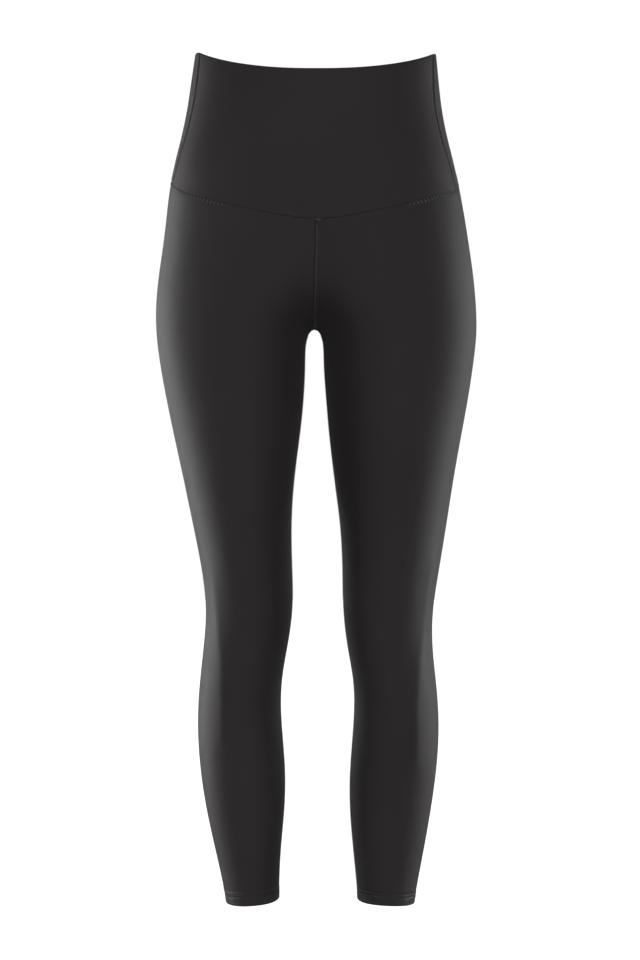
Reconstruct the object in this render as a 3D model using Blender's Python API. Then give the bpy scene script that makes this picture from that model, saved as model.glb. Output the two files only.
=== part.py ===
"""High-waisted 7/8 leggings in a stretch knit, in the hollow shape they take when worn.

Metres, +Z up. The front faces -Y and the wearer's left is at +X. The origin is the middle of the
waist opening, level with the top of the waistband's side seams, and a level is a depth below it.

Each leg is one panel wrapped round the leg and closed by an inseam. The two meet at the centre front
and the centre back, and hang from a deep waistband with a front, a back and two side seams.
"""

from collections import namedtuple
import math

import bpy
import numpy as np

RIGHT, LEFT = -1, 1

# Cloth and seams.
LEG_CLOTH = 0.0013
BAND_CLOTH = 0.0024
HEM_CLOTH = 0.0026
HEM_HEIGHT = 0.0145
HALF_GAP = 0.00015

# Top edge: how far it dips at the centre front and centre back, how round each dip is, and how high the
# front stands by each side seam, a rise that is over at the side and fades toward the centre.
TOP_DIP_FRONT = 0.0270
TOP_DIP_BACK = 0.010
TOP_POWER_FRONT = 1.4
TOP_POWER_BACK = 1.8
TOP_RISE = {RIGHT: 0.0031, LEFT: 0.0010}
TOP_RISE_GIRTH = 0.22

# Seam between waistband and legs: its highest level, how far behind the side that lies (as girth), its
# drop to the centres, and how blunt its V is.
WAIST_SEAM = 0.1372
WAIST_SEAM_CREST = 0.15
WAIST_DROP_FRONT = 0.0466
WAIST_DROP_BACK = 0.0268
WAIST_V_POWER = 1.4

# Waistband side seams, as a share of the quarter turn from the side to the centre front.
SideSeam = namedtuple("SideSeam", "share_down right left")
SIDE_SEAMS = (
    SideSeam(0.00, 0.232, 0.187),
    SideSeam(0.30, 0.247, 0.256),
    SideSeam(0.65, 0.214, 0.246),
    SideSeam(1.00, 0.162, 0.190),
)

# Hems: their levels at the outside and the inside of each leg, and how much lower the front hangs.
Hem = namedtuple("Hem", "outside inside front_drop")
HEMS = {RIGHT: Hem(0.9042, 0.9003, 0.0017), LEFT: Hem(0.9052, 0.9016, 0.0003)}

# Fork of the legs: its level, the width its rounding starts from, and its small sway to the right.
CROTCH = 0.2930
FORK = 0.010
FORK_SWAY = 0.0021
SWAY_START = 0.170

# Sections of the body. right and left are half widths from the middle line, front and back are depths
# from the side line. The rest are shares of the half ring: parted is how far its middle has moved out
# from the middle line, pull how far its inner side is drawn out further, and seat how far out the
# fullest point of the back lies. At the crotch, parted and pull make 1: the inner side leaves the line.
Body = namedtuple("Body", "level right left front back parted pull seat")
BODY = (
    Body(0.000, 0.1288, 0.1272, -0.092, 0.088, 0.00, 0.00, 0.00),
    Body(0.028, 0.1331, 0.1299, -0.094, 0.088, 0.00, 0.00, 0.00),
    Body(0.060, 0.1376, 0.1332, -0.097, 0.090, 0.00, 0.00, 0.02),
    Body(0.092, 0.1443, 0.1397, -0.101, 0.096, 0.00, 0.00, 0.06),
    Body(0.124, 0.1527, 0.1480, -0.104, 0.104, 0.01, 0.00, 0.12),
    Body(0.156, 0.1578, 0.1545, -0.106, 0.112, 0.05, 0.00, 0.18),
    Body(0.200, 0.1626, 0.1622, -0.106, 0.120, 0.18, 0.02, 0.24),
    Body(0.235, 0.1670, 0.1682, -0.104, 0.121, 0.37, 0.08, 0.22),
    Body(0.260, 0.1688, 0.1710, -0.102, 0.118, 0.54, 0.17, 0.16),
    Body(0.280, 0.1692, 0.1723, -0.100, 0.113, 0.70, 0.19, 0.10),
    Body(CROTCH, 0.1686, 0.1725, -0.099, 0.109, 0.79, 0.21, 0.07),
)

# Sections of the legs, from the same middle line.
Legs = namedtuple("Legs", "level right_out right_in left_in left_out front back parted")
LEGS = (
    Legs(0.305, 0.1678, 0.0070, 0.0062, 0.1718, -0.098, 0.106, 0.86),
    Legs(0.326, 0.1648, 0.0094, 0.0088, 0.1692, -0.097, 0.101, 0.95),
    Legs(0.369, 0.1570, 0.0125, 0.0132, 0.1628, -0.094, 0.090, 1.05),
    Legs(0.400, 0.1506, 0.0155, 0.0156, 0.1570, -0.091, 0.084, 1.11),
    Legs(0.430, 0.1440, 0.0194, 0.0190, 0.1515, -0.087, 0.078, 1.17),
    Legs(0.465, 0.1365, 0.0232, 0.0232, 0.1456, -0.082, 0.073, 1.25),
    Legs(0.500, 0.1293, 0.0250, 0.0277, 0.1402, -0.077, 0.068, 1.31),
    Legs(0.550, 0.1197, 0.0243, 0.0303, 0.1321, -0.069, 0.060, 1.37),
    Legs(0.590, 0.1156, 0.0239, 0.0312, 0.1262, -0.062, 0.056, 1.40),
    Legs(0.630, 0.1179, 0.0292, 0.0355, 0.1255, -0.053, 0.058, 1.50),
    Legs(0.670, 0.1219, 0.0358, 0.0424, 0.1294, -0.046, 0.063, 1.66),
    Legs(0.710, 0.1239, 0.0358, 0.0423, 0.1320, -0.041, 0.065, 1.64),
    Legs(0.760, 0.1215, 0.0322, 0.0387, 0.1300, -0.036, 0.062, 1.56),
    Legs(0.810, 0.1143, 0.0332, 0.0387, 0.1234, -0.031, 0.056, 1.61),
    Legs(0.860, 0.1032, 0.0374, 0.0430, 0.1145, -0.027, 0.051, 1.85),
    Legs(0.885, 0.0977, 0.0382, 0.0456, 0.1096, -0.025, 0.050, 1.99),
    Legs(0.907, 0.0938, 0.0386, 0.0468, 0.1062, -0.024, 0.049, 2.10),
)

# How far a curve along a table may leave its rows to run fair; the row at the crotch is kept.
FAIRNESS = 4e-8

# How square a section is (0 is an ellipse), and how closely a pull keeps to the inner side.
SQUARE = 0.015
PULL_POWER = 3

# Mesh steps.
LEG_COLUMNS = 30
BAND_COLUMNS = 12
BAND_ROWS = 7
FIRST_STEP = 0.0010
STEP_GROWTH = 1.6
LONGEST_STEP = 0.022
NORMAL_STEP = 1e-5
SHARPEST_BEND = 14.0
SHARP_EDGE = math.radians(40)

CHARCOAL = (0.026, 0.024, 0.025, 1.0)
CLOTH_ROUGHNESS = 0.55


def fair_curve(levels, values):
    """A fair curve along the rows of a table, as a function of level.

    It is a natural cubic spline that may leave a row by a hair where that takes a ripple out of the cloth.
    """
    levels = np.asarray(levels, dtype=float)
    values = np.asarray(values, dtype=float)
    steps = np.diff(levels)
    count = len(levels)
    slopes_apart = np.zeros((count - 2, count))
    stiffness = np.zeros((count - 2, count - 2))
    for row in range(count - 2):
        before, after = steps[row], steps[row + 1]
        slopes_apart[row, row : row + 3] = 1 / before, -1 / before - 1 / after, 1 / after
        stiffness[row, row] = (before + after) / 3
        if row:
            stiffness[row, row - 1] = stiffness[row - 1, row] = before / 6
    give = FAIRNESS / np.convolve(steps, [0.5, 0.5])
    give[levels == CROTCH] = 0
    bend = np.linalg.solve(stiffness + slopes_apart * give @ slopes_apart.T, slopes_apart @ values)
    values = values - give * (bend @ slopes_apart)
    bend = np.pad(bend, 1)

    def value(level):
        row = np.clip(np.searchsorted(levels, level) - 1, 0, count - 2)
        share = (levels[row + 1] - level) / steps[row]
        rest = 1 - share
        curved = (share**3 - share) * bend[row] + (rest**3 - rest) * bend[row + 1]
        return share * values[row] + rest * values[row + 1] + curved * steps[row] ** 2 / 6

    return value


def virtual(width):
    """The width that the fork's rounding turns into this one."""
    return math.hypot(width, FORK)


def leg_pull(out, inside, parted):
    """The pull that brings the inner side of a leg's ring to its place."""
    half = (virtual(out) - FORK) / (1 + parted)
    return (virtual(inside) - FORK) / half + 1 - parted


LEVELS = [row.level for row in BODY + LEGS]
OUT = {
    RIGHT: fair_curve(LEVELS, [virtual(w) for w in [r.right for r in BODY] + [r.right_out for r in LEGS]]),
    LEFT: fair_curve(LEVELS, [virtual(w) for w in [r.left for r in BODY] + [r.left_out for r in LEGS]]),
}
BODY_PULL = [row.pull for row in BODY]
PULL = {
    RIGHT: fair_curve(LEVELS, BODY_PULL + [leg_pull(r.right_out, r.right_in, r.parted) for r in LEGS]),
    LEFT: fair_curve(LEVELS, BODY_PULL + [leg_pull(r.left_out, r.left_in, r.parted) for r in LEGS]),
}
PARTED = fair_curve(LEVELS, [row.parted for row in BODY + LEGS])
FRONT = fair_curve(LEVELS, [row.front for row in BODY + LEGS])
BACK = fair_curve(LEVELS, [row.back for row in BODY + LEGS])
SEAT = fair_curve(LEVELS, [row.seat for row in BODY] + [0.0] * len(LEGS))
SEAM_SHARES = [row.share_down for row in SIDE_SEAMS]
SIDE_SEAM = {
    RIGHT: fair_curve(SEAM_SHARES, [row.right for row in SIDE_SEAMS]),
    LEFT: fair_curve(SEAM_SHARES, [row.left for row in SIDE_SEAMS]),
}


def across_ring(side, turn, level):
    """How far out a turn lies, in half rings from the fork's line: turn 0 is the side, -pi / 2 the front."""
    squared = (np.cos(turn) - SQUARE * np.cos(3 * turn)) / (1 - SQUARE)
    behind = np.sin(turn) ** 2 * (1 + np.sin(turn)) / 2
    inside = ((1 - np.cos(turn)) / 2) ** PULL_POWER
    pull = np.where(side == LEFT, PULL[LEFT](level), PULL[RIGHT](level))
    return PARTED(level) + squared + SEAT(level) * behind + pull * inside


def ring(side, turn, level):
    """A point of the cloth before the fork's rounding: width from the middle line, depth and height."""
    out = np.where(side == LEFT, OUT[LEFT](level), OUT[RIGHT](level))
    half = (out - FORK) / (1 + PARTED(level))
    width = FORK + half * across_ring(side, turn, level)
    middle = (BACK(level) + FRONT(level)) / 2
    half_depth = (BACK(level) - FRONT(level)) / 2
    depth = middle + half_depth * (np.sin(turn) + SQUARE * np.sin(3 * turn)) / (1 - SQUARE)
    return np.stack([width, depth, -level + 0 * turn], axis=-1)


def end_turn(side, toward_back, level):
    """The turn at which a side's ring meets the middle line, or the whole half turn below the fork."""
    direction = np.where(toward_back, 1.0, -1.0)
    low = np.full(np.shape(level), math.pi / 3)
    high = np.full(np.shape(level), math.pi)
    for _ in range(45):
        middle = (low + high) / 2
        outside = across_ring(side, direction * middle, level) > 0
        low = np.where(outside, middle, low)
        high = np.where(outside, high, middle)
    return (low + high) / 2


def sway(level):
    """How far the middle line has moved to the wearer's right, eased in from the waist seam to the fork."""
    share = np.clip((level - SWAY_START) / (CROTCH - SWAY_START), 0, 1)
    return -FORK_SWAY * share * share * (3 - 2 * share)


def cloth(side, girth, level):
    """Points on the cloth's outer face and the normals there.

    girth runs from -1 at the centre front, through 0 at the side, to 1 at the centre back. Below the
    fork its two ends meet at the inseam. Just above the fork only the columns near the ends bend away.
    """
    side, girth, level = np.broadcast_arrays(side, girth, level)
    cut_off = math.pi - end_turn(side, girth > 0, level)
    bend = np.minimum(math.pi / 2 / np.maximum(cut_off, NORMAL_STEP), SHARPEST_BEND)
    turn = girth * math.pi - np.sign(girth) * cut_off * np.abs(girth) ** bend
    place = ring(side, turn, level)
    along = ring(side, turn + NORMAL_STEP, level) - ring(side, turn - NORMAL_STEP, level)
    up = ring(side, turn, level - NORMAL_STEP) - ring(side, turn, level + NORMAL_STEP)
    normal = np.cross(along, up)
    width = place[..., 0]
    rounded = np.sqrt(np.maximum(width**2 - FORK**2, 0))
    normal[..., 0] *= side * rounded / width
    normal /= np.linalg.norm(normal, axis=-1, keepdims=True)
    points = np.stack([side * rounded + sway(level), place[..., 1], place[..., 2]], axis=-1)
    return points, normal


def top_edge(side, girth):
    inward = np.abs(np.sin(girth * math.pi / 2))
    dip = np.where(
        girth < 0, TOP_DIP_FRONT * inward**TOP_POWER_FRONT, TOP_DIP_BACK * inward**TOP_POWER_BACK
    )
    begun = np.clip(-girth / TOP_RISE_GIRTH, 0, 1)
    rise = TOP_RISE[side] * (1 - inward * inward) * begun * begun * (3 - 2 * begun)
    return dip - rise


def waist_seam(girth):
    from_crest = girth - WAIST_SEAM_CREST
    forward = from_crest < 0
    drop = np.where(forward, WAIST_DROP_FRONT, WAIST_DROP_BACK)
    to_centre = np.where(forward, 1 + WAIST_SEAM_CREST, 1 - WAIST_SEAM_CREST)
    outward = np.maximum(np.cos(from_crest / to_centre * math.pi / 2), 0)
    return WAIST_SEAM + drop * (1 - outward**WAIST_V_POWER)


def hem_edge(side, girth):
    hem = HEMS[side]
    level = (hem.outside + hem.inside) / 2 + (hem.outside - hem.inside) / 2 * np.cos(girth * math.pi)
    return level - hem.front_drop * np.sin(girth * math.pi)


def growing_shares(length):
    """Shares of a length, in steps that start small and grow to the longest step."""
    places = [0.0]
    step = FIRST_STEP
    while places[-1] + step < length:
        places.append(places[-1] + step)
        step = min(step * STEP_GROWTH, LONGEST_STEP)
    return np.array(places[:-1] + [length]) / length


def leg_panel(side):
    """One leg's panel: rows from the waist seam to the hem, columns round the leg from front to back."""
    girth = np.linspace(-1, 1, LEG_COLUMNS + 1)
    top = waist_seam(girth) + HALF_GAP
    hem_line = hem_edge(side, girth) - HEM_HEIGHT
    upper = growing_shares(CROTCH - WAIST_SEAM)[::-1, None]
    lower = growing_shares(HEMS[side].outside - HEM_HEIGHT - CROTCH)[1:, None]
    turned_up = np.array([0.04, 0.5, 1.0])[:, None] * HEM_HEIGHT
    level = np.concatenate([
        CROTCH + (top - CROTCH) * upper,
        CROTCH + (hem_line - CROTCH) * lower,
        hem_line + turned_up,
    ])
    thickness = np.full(len(level), LEG_CLOTH)
    thickness[-len(turned_up) :] = HEM_CLOTH
    points, normals = cloth(side, girth, level)
    middle = sway(level)
    clear = np.maximum(np.abs(points[..., 0] - middle), HALF_GAP)
    points[..., 0] = middle + side * clear
    on_inseam = (level >= CROTCH) & (np.abs(girth) == 1)
    points[..., 1] += np.where(on_inseam, girth * HALF_GAP, 0)
    return points, normals, thickness[:, None]


def band_panel(direction):
    """The waistband's front (direction -1) or back (1): columns from the right side seam to the left."""
    share_down = np.linspace(0, 1, BAND_ROWS + 1)[:, None]
    half_depth = (BODY[0].back - BODY[0].front) / 2
    gap_girth = HALF_GAP / (half_depth * math.pi / 2)
    halves = []
    for side in (RIGHT, LEFT):
        start = direction * gap_girth - SIDE_SEAM[side](share_down)
        girth = start + (direction - start) * np.linspace(0, 1, BAND_COLUMNS + 1)
        top = top_edge(side, girth)
        level = top + (waist_seam(girth) - HALF_GAP - top) * share_down
        halves.append(cloth(side, girth, level))
    points, normals = (
        np.concatenate([of_right, of_left[:, -2::-1]], axis=1) for of_right, of_left in zip(*halves)
    )
    return points, normals, BAND_CLOTH


def grid_faces(points):
    """Triangles of a grid of points, cut along their shorter diagonals, and its border in order."""
    rows, columns = points.shape[:2]
    place = np.arange(rows * columns).reshape(rows, columns)
    a, b = place[:-1, :-1].ravel(), place[:-1, 1:].ravel()
    c, d = place[1:, 1:].ravel(), place[1:, :-1].ravel()
    flat = points.reshape(-1, 3)
    short = np.linalg.norm(flat[a] - flat[c], axis=1) < np.linalg.norm(flat[b] - flat[d], axis=1)
    first = np.where(short[:, None], np.stack([a, d, c], axis=1), np.stack([a, d, b], axis=1))
    second = np.where(short[:, None], np.stack([a, c, b], axis=1), np.stack([b, d, c], axis=1))
    faces = np.concatenate([first, second])
    border = np.concatenate([place[0, :-1], place[:-1, -1], place[-1, :0:-1], place[:0:-1, 0]])
    return faces, border


def wall(points, normals, thickness):
    """Points and faces of a closed wall of cloth: its outer face, its inner face and the cut edge."""
    inner = points - normals * np.asarray(thickness)[..., None]
    faces, border = grid_faces(points)
    downward = points[1:, 1:] - points[:-1, 1:]
    sideways = points[1:, 1:] - points[1:, :-1]
    outward = np.sum(np.cross(downward, sideways) * normals[1:, 1:]) > 0
    if not outward:
        faces = faces[:, ::-1]
        border = border[::-1]
    under = points[..., 0].size
    after = np.roll(border, -1)
    cut_edge = np.concatenate([
        np.stack([border, after, border + under], axis=1),
        np.stack([after, after + under, border + under], axis=1),
    ])
    all_faces = np.concatenate([faces, faces[:, ::-1] + under, cut_edge])
    all_points = np.concatenate([points.reshape(-1, 3), inner.reshape(-1, 3)])
    return all_points, all_faces


def cloth_material(name):
    material = bpy.data.materials.new(name)
    material.use_nodes = True
    shader = material.node_tree.nodes["Principled BSDF"]
    shader.inputs["Base Color"].default_value = CHARCOAL
    shader.inputs["Roughness"].default_value = CLOTH_ROUGHNESS
    shader.inputs["Metallic"].default_value = 0.0
    return material


def add_piece(name, panel, collection):
    points, faces = wall(*panel)
    mesh = bpy.data.meshes.new(name)
    mesh.from_pydata(points.tolist(), [], faces.tolist())
    mesh.materials.append(cloth_material(name + "_knit"))
    mesh.shade_smooth()
    mesh.set_sharp_from_angle(angle=SHARP_EDGE)
    collection.objects.link(bpy.data.objects.new(name, mesh))


def build():
    for old in list(bpy.data.objects):
        bpy.data.objects.remove(old)
    collection = bpy.data.collections.new("leggings")
    bpy.context.scene.collection.children.link(collection)
    add_piece("waistband_front", band_panel(-1), collection)
    add_piece("waistband_back", band_panel(1), collection)
    add_piece("leg_right", leg_panel(RIGHT), collection)
    add_piece("leg_left", leg_panel(LEFT), collection)


build()
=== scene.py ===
"""Looks of the leggings: fine shells of knit over the solids' form, their sewing, light and camera."""

from collections import namedtuple
import math

import bpy
import numpy as np
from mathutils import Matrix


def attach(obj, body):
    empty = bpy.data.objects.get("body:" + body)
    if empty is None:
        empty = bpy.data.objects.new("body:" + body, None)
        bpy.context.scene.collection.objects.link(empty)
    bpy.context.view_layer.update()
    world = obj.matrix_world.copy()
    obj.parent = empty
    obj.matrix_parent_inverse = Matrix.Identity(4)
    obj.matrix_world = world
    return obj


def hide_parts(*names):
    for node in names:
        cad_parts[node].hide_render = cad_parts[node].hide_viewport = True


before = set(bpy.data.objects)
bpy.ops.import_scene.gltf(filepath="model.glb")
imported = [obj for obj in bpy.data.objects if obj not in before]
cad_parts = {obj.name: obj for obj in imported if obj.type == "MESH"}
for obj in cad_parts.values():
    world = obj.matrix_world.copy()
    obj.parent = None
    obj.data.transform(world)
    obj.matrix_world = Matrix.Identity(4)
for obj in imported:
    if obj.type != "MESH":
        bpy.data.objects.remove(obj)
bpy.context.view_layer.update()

RIGHT, LEFT = -1, 1

# ---- The cut and its sections, as the solids have them ------------------------------------------

LEG_CLOTH = 0.0013
BAND_CLOTH = 0.0024
HEM_CLOTH = 0.0026
HEM_HEIGHT = 0.0145

TOP_DIP_FRONT = 0.0270
TOP_DIP_BACK = 0.010
TOP_POWER_FRONT = 1.4
TOP_POWER_BACK = 1.8
TOP_RISE = {RIGHT: 0.0031, LEFT: 0.0010}
TOP_RISE_GIRTH = 0.22

WAIST_SEAM = 0.1372
WAIST_SEAM_CREST = 0.15
WAIST_DROP_FRONT = 0.0466
WAIST_DROP_BACK = 0.0268
WAIST_V_POWER = 1.4

SideSeam = namedtuple("SideSeam", "share_down right left")
SIDE_SEAMS = (
    SideSeam(0.00, 0.232, 0.187),
    SideSeam(0.30, 0.247, 0.256),
    SideSeam(0.65, 0.214, 0.246),
    SideSeam(1.00, 0.162, 0.190),
)

Hem = namedtuple("Hem", "outside inside front_drop")
HEMS = {RIGHT: Hem(0.9042, 0.9003, 0.0017), LEFT: Hem(0.9052, 0.9016, 0.0003)}

CROTCH = 0.2930
FORK = 0.010
FORK_SWAY = 0.0021
SWAY_START = 0.170

Body = namedtuple("Body", "level right left front back parted pull seat")
BODY = (
    Body(0.000, 0.1288, 0.1272, -0.092, 0.088, 0.00, 0.00, 0.00),
    Body(0.028, 0.1331, 0.1299, -0.094, 0.088, 0.00, 0.00, 0.00),
    Body(0.060, 0.1376, 0.1332, -0.097, 0.090, 0.00, 0.00, 0.02),
    Body(0.092, 0.1443, 0.1397, -0.101, 0.096, 0.00, 0.00, 0.06),
    Body(0.124, 0.1527, 0.1480, -0.104, 0.104, 0.01, 0.00, 0.12),
    Body(0.156, 0.1578, 0.1545, -0.106, 0.112, 0.05, 0.00, 0.18),
    Body(0.200, 0.1626, 0.1622, -0.106, 0.120, 0.18, 0.02, 0.24),
    Body(0.235, 0.1670, 0.1682, -0.104, 0.121, 0.37, 0.08, 0.22),
    Body(0.260, 0.1688, 0.1710, -0.102, 0.118, 0.54, 0.17, 0.16),
    Body(0.280, 0.1692, 0.1723, -0.100, 0.113, 0.70, 0.19, 0.10),
    Body(CROTCH, 0.1686, 0.1725, -0.099, 0.109, 0.79, 0.21, 0.07),
)
Legs = namedtuple("Legs", "level right_out right_in left_in left_out front back parted")
LEGS = (
    Legs(0.305, 0.1678, 0.0070, 0.0062, 0.1718, -0.098, 0.106, 0.86),
    Legs(0.326, 0.1648, 0.0094, 0.0088, 0.1692, -0.097, 0.101, 0.95),
    Legs(0.369, 0.1570, 0.0125, 0.0132, 0.1628, -0.094, 0.090, 1.05),
    Legs(0.400, 0.1506, 0.0155, 0.0156, 0.1570, -0.091, 0.084, 1.11),
    Legs(0.430, 0.1440, 0.0194, 0.0190, 0.1515, -0.087, 0.078, 1.17),
    Legs(0.465, 0.1365, 0.0232, 0.0232, 0.1456, -0.082, 0.073, 1.25),
    Legs(0.500, 0.1293, 0.0250, 0.0277, 0.1402, -0.077, 0.068, 1.31),
    Legs(0.550, 0.1197, 0.0243, 0.0303, 0.1321, -0.069, 0.060, 1.37),
    Legs(0.590, 0.1156, 0.0239, 0.0312, 0.1262, -0.062, 0.056, 1.40),
    Legs(0.630, 0.1179, 0.0292, 0.0355, 0.1255, -0.053, 0.058, 1.50),
    Legs(0.670, 0.1219, 0.0358, 0.0424, 0.1294, -0.046, 0.063, 1.66),
    Legs(0.710, 0.1239, 0.0358, 0.0423, 0.1320, -0.041, 0.065, 1.64),
    Legs(0.760, 0.1215, 0.0322, 0.0387, 0.1300, -0.036, 0.062, 1.56),
    Legs(0.810, 0.1143, 0.0332, 0.0387, 0.1234, -0.031, 0.056, 1.61),
    Legs(0.860, 0.1032, 0.0374, 0.0430, 0.1145, -0.027, 0.051, 1.85),
    Legs(0.885, 0.0977, 0.0382, 0.0456, 0.1096, -0.025, 0.050, 1.99),
    Legs(0.907, 0.0938, 0.0386, 0.0468, 0.1062, -0.024, 0.049, 2.10),
)

FAIRNESS = 4e-8
SQUARE = 0.015
PULL_POWER = 3
NORMAL_STEP = 1e-5
SHARPEST_BEND = 14.0

# A ring's end lies past this turn, and halving the rest this often finds it.
SURELY_OUTSIDE = math.pi / 3
HALVINGS = 40

# ---- Finer form of the cloth ----------------------------------------------------------------------

# Panels' edges nearly meet at the seams, rolled over by these radii.
SEEN_GAP = 0.00004
TOP_ROLL = 0.0020
BAND_ROLL = 0.0007
SIDE_SEAM_ROLL = 0.0006
HEM_ROLL = 0.0018
CENTRE_ROLL = 0.0001
CENTRE_ROLL_DEPTH = 0.00005
INSEAM_ROLL_DEPTH = 0.00003
THINNEST = 0.00012

# Toward the sides the waist seam opens to a narrow dark line, by this much on each side of it.
SIDE_GAP = 0.00032
SIDE_GAP_REACH = 0.34

# There it also runs lower than the solids' line by these drops, or higher where a drop is negative.
SeamShift = namedtuple("SeamShift", "side girth reach drop")
SEAM_SHIFTS = (
    SeamShift(RIGHT, 0.0, 0.42, -0.0044),
    SeamShift(LEFT, 0.08, 0.27, -0.0055),
    SeamShift(LEFT, -0.23, 0.20, 0.0016),
)

# Behind the waist seam its overlocked edge closes the gap; its dark tone is painted shade, so the gap
# shows as a shadow line.
OVERLOCK_DEPTH = 0.0034
OVERLOCK_HEIGHT = 0.0060
OVERLOCK_CLOTH = 0.0006

# The doubled band stands a little proud above the seam, and its stitches sink into the legs below it.
BAND_PUFF = 0.0003
BAND_PUFF_HEIGHT = 0.012
WAIST_SINK = 0.0004
WAIST_SINK_WIDTH = 0.0070

# The waistband's side seams draw the cloth in beside them.
SIDE_SEAM_DRAW = 0.0007
SIDE_SEAM_WIDTH = 0.0034
SIDE_SEAM_START = 0.002
SIDE_SEAM_GAP = 0.0002

# Centre seam: its layers are pressed to the wearer's left, as a ridge with a shallow dip beyond it.
Strip = namedtuple("Strip", "place half_width height")
CENTRE_STRIPS = (
    Strip(0.0019, 0.0028, 0.00020),
    Strip(0.0056, 0.0026, -0.00008),
)
CENTRE_STRIP_START = 0.004

# The seam runs this far to the wearer's right of the middle, until just above the fork.
CENTRE_SHIFT = 0.0011
CENTRE_SHIFT_REACH = 0.020
CENTRE_SHIFT_FADE = 0.012

# Inseams: a low flat ridge, which takes over from the centre seam's within a short way below the fork.
INSEAM_RIDGE = 0.0005
INSEAM_RIDGE_WIDTH = 0.0030
FORK_FADE = 0.012

# Hems: turned-up cloth, twin needle lines that sink in, and the pucker between them.
HEM_STEP = 0.0003
HEM_STEP_ROLL = 0.002
HEM_FLARE = 0.0003
Needles = namedtuple("Needles", "upper lower slant sink")
NEEDLES = {
    RIGHT: Needles(0.0150, 0.0090, -0.0004, 0.00040),
    LEFT: Needles(0.0128, 0.0094, 0.0004, 0.00065),
}
NEEDLE_WAVE = 0.0007
NEEDLE_WIDTH = 0.0016
PUCKER = 0.00045
PUCKER_WIDTH = 0.0055
PUCKER_WAVES = (9, 14, 23)
PUCKER_FADE = 0.4
PUCKER_LAG = 1.7
PUCKER_SIDE_LAG = 0.9

# Soft creases: place (girth round the leg, level), half length and half width, lean and depth.
Crease = namedtuple("Crease", "side girth level length width lean depth")
CREASES = (
    Crease(RIGHT, 0.52, 0.588, 0.034, 0.0050, 0.10, -0.0011),
    Crease(RIGHT, 0.46, 0.604, 0.026, 0.0042, -0.18, -0.0008),
    Crease(RIGHT, 0.60, 0.615, 0.020, 0.0040, 0.24, -0.0006),
    Crease(LEFT, 0.50, 0.592, 0.036, 0.0052, -0.08, -0.0011),
    Crease(LEFT, 0.57, 0.608, 0.024, 0.0042, 0.20, -0.0008),
    Crease(LEFT, 0.43, 0.578, 0.018, 0.0040, -0.28, -0.0005),
    Crease(RIGHT, 0.72, 0.318, 0.030, 0.0065, -0.35, -0.0009),
    Crease(LEFT, 0.70, 0.321, 0.032, 0.0068, 0.32, -0.0009),
    Crease(RIGHT, 0.80, 0.338, 0.022, 0.0055, -0.45, -0.0006),
    Crease(LEFT, 0.79, 0.334, 0.024, 0.0055, 0.42, -0.0006),
)
CREASE_REACH = 3
CREASE_BOW = 0.12
CREASE_LIP = 0.35
CREASE_LIP_AWAY = 2.1

# Folds where one muscle's roundness meets the next: soft edges along paths of girth and level.
Fold = namedtuple("Fold", "side path height width")
FOLDS = (
    Fold(
        RIGHT,
        (
            (-0.250, 0.545), (-0.262, 0.590), (-0.305, 0.622),
            (-0.343, 0.641), (-0.388, 0.684), (-0.378, 0.745),
        ),
        0.0017, 0.018,
    ),
    Fold(
        LEFT,
        (
            (-0.215, 0.525), (-0.218, 0.590), (-0.240, 0.620),
            (-0.286, 0.642), (-0.360, 0.690), (-0.340, 0.770),
        ),
        0.0017, 0.018,
    ),
    Fold(LEFT, ((-0.930, 0.505), (-0.709, 0.576), (-0.562, 0.624), (-0.552, 0.700)), 0.0005, 0.012),
)
FOLD_ROUNDING = 0.0012
FOLD_FADE = 0.030

# Broad fullness of the calves' outer sides.
Fullness = namedtuple("Fullness", "side girth level reach height")
FULLNESSES = (
    Fullness(RIGHT, 0.0, 0.705, 0.125, 0.0008),
    Fullness(LEFT, 0.0, 0.700, 0.115, 0.0006),
)

# Mesh steps of the shells, in metres down the body and in shares of girth round it.
FINE = 0.00025
STEP_GROWTH = 1.24
LONG_STEP = 0.0036
FORK_STEP = 0.0009
END_SHARE = 0.0006
LONG_SHARE = 0.020
HEM_ROWS = 32
HEM_ROWS_PAST = 0.0045
BAND_DEPTH = 0.165
BAND_LONG_STEP = 0.0040
BAND_END_SHARE = 0.0012
BAND_LONG_SHARE = 0.03
OVERLOCK_ROWS = 5

# ---- Sewing ---------------------------------------------------------------------------------------

THREAD = 0.00028
THREAD_SIDES = 5
THREAD_PLACES = 6
THREAD_TIP = 0.6
THREAD_ARCH = 0.6
THREAD_LIFT = 0.00025
THREAD_BURIED = 0.00015
SEAM_SAMPLES = 1400
HEADING_STEP = 0.0002

# Ladders of short threads: their step along a seam and reach across it, how far each leans, its depth in
# the cloth or height over it, its arch and its radius.
Ladder = namedtuple("Ladder", "step reach lean base lift radius")
WAIST_LADDER = Ladder(0.0046, (0.0014, 0.0048), 0.0004, -0.0003, 0.0002, 0.00050)
INSEAM_LADDER = Ladder(0.0024, (-0.0021, 0.0021), 0.0005, 0.00045, THREAD_LIFT + THREAD, 0.9 * THREAD)
SIDE_LADDER = Ladder(0.0021, (0.0008, 0.0044), 0.0004, -0.0002, THREAD_LIFT + THREAD, THREAD)
CENTRE_LADDER = Ladder(0.0009, (-0.0002, 0.0020), 0.0003, 0.0, 0.0002, THREAD)

# Toward the front's middle the pull of the waist seam draws its ladder in until it is lost in the knit.
LADDER_LOST = 0.0009
LADDER_LOST_FROM = 0.112
LADDER_LOST_AT = 0.082

# How far each ladder stops short of its seam's ends.
WAIST_END_SHARE = 0.001
SIDE_END_SHARE = 0.012
INSEAM_START = 0.006
INSEAM_END = 0.001
CENTRE_START = 0.006
CENTRE_END = 0.0015

NEEDLE_STEP = 0.0030
NEEDLE_STITCH = 0.0024

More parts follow.
